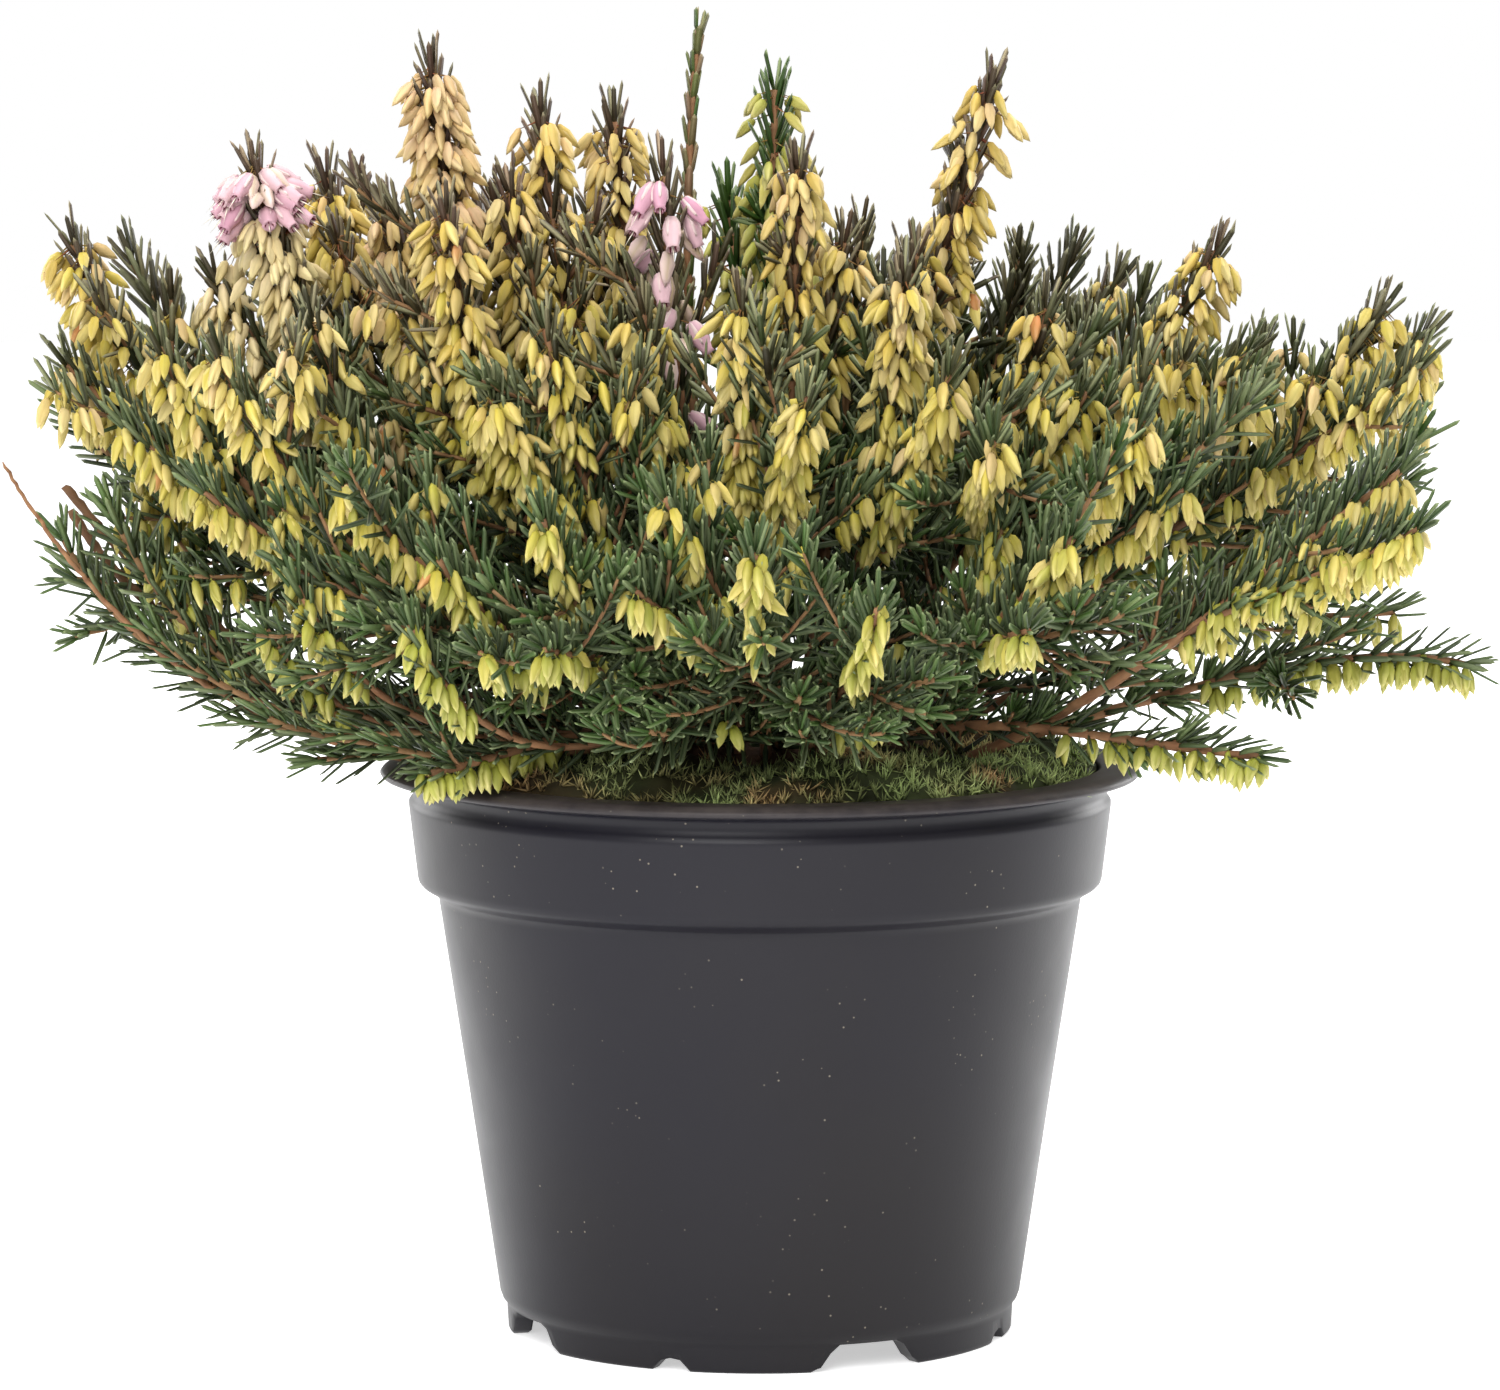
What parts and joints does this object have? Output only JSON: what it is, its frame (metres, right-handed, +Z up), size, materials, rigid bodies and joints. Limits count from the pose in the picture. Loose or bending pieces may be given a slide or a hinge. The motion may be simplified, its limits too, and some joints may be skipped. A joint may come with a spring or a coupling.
{
  "type": "potted darley dale heath",
  "caption": "Darley Dale heath in bud, a dense spreading evergreen bush with needle leaves and hanging yellow-green buds, in a round black plastic nursery pot.",
  "frame": {"origin": "middle of the bounding box at the bottom, on the pot's axis where its feet stand", "axes": "+Z up along the pot's axis, -Y towards the front, +X to the right seen from the front"},
  "size_m": [0.2535, 0.2069, 0.2276],
  "materials": {
    "pot_plastic": "satin",
    "compost": "matte",
    "moss": "matte",
    "heath_in_bud": "matte",
    "heath_in_flower": "matte",
    "bare_wood": "matte"
  },
  "bodies": {
    "root": {"moss": "moss", "pot": "pot_plastic", "soil": "compost", "stem_01": "heath_in_bud", "stem_02": "heath_in_bud", "stem_03": "heath_in_bud", "stem_04": "heath_in_flower", "stem_05": "heath_in_bud", "stem_06": "heath_in_bud", "stem_07": "heath_in_bud", "stem_08": "heath_in_bud", "stem_09": "heath_in_bud", "stem_10": "heath_in_bud", "stem_11": "heath_in_flower", "stem_12": "heath_in_bud", "stem_13": "heath_in_bud", "stem_14": "heath_in_bud", "stem_15": "heath_in_bud", "stem_16": "heath_in_bud", "stem_17": "heath_in_bud", "stem_18": "heath_in_bud", "stem_19": "heath_in_bud", "stem_20": "heath_in_bud", "stem_21": "heath_in_bud", "stem_22": "heath_in_bud", "stem_23": "heath_in_bud", "stem_24": "heath_in_bud", "stem_25": "heath_in_bud", "stem_26": "heath_in_bud", "stem_27": "heath_in_bud", "stem_28": "heath_in_bud", "stem_29": "heath_in_bud", "stem_30": "heath_in_bud", "stem_31": "heath_in_bud", "stem_32": "heath_in_bud", "stem_33": "heath_in_bud", "stem_34": "heath_in_bud", "stem_35": "heath_in_bud", "stem_36": "heath_in_bud", "stem_37": "heath_in_bud", "stem_38": "heath_in_bud", "stem_39": "heath_in_bud", "stem_40": "heath_in_bud", "stem_41": "heath_in_bud", "stem_42": "heath_in_bud", "stem_43": "heath_in_bud", "stem_44": "heath_in_bud", "stem_45": "heath_in_bud", "stem_46": "heath_in_bud", "stem_47": "heath_in_bud", "stem_48": "heath_in_bud", "stem_49": "heath_in_bud", "stem_50": "heath_in_bud", "stem_51": "heath_in_bud", "stem_52": "heath_in_bud", "stem_53": "heath_in_bud", "stem_54": "heath_in_bud", "stem_cut_1": "bare_wood", "stem_cut_2": "bare_wood", "twig_bare": "bare_wood"}
  },
  "joints": []
}
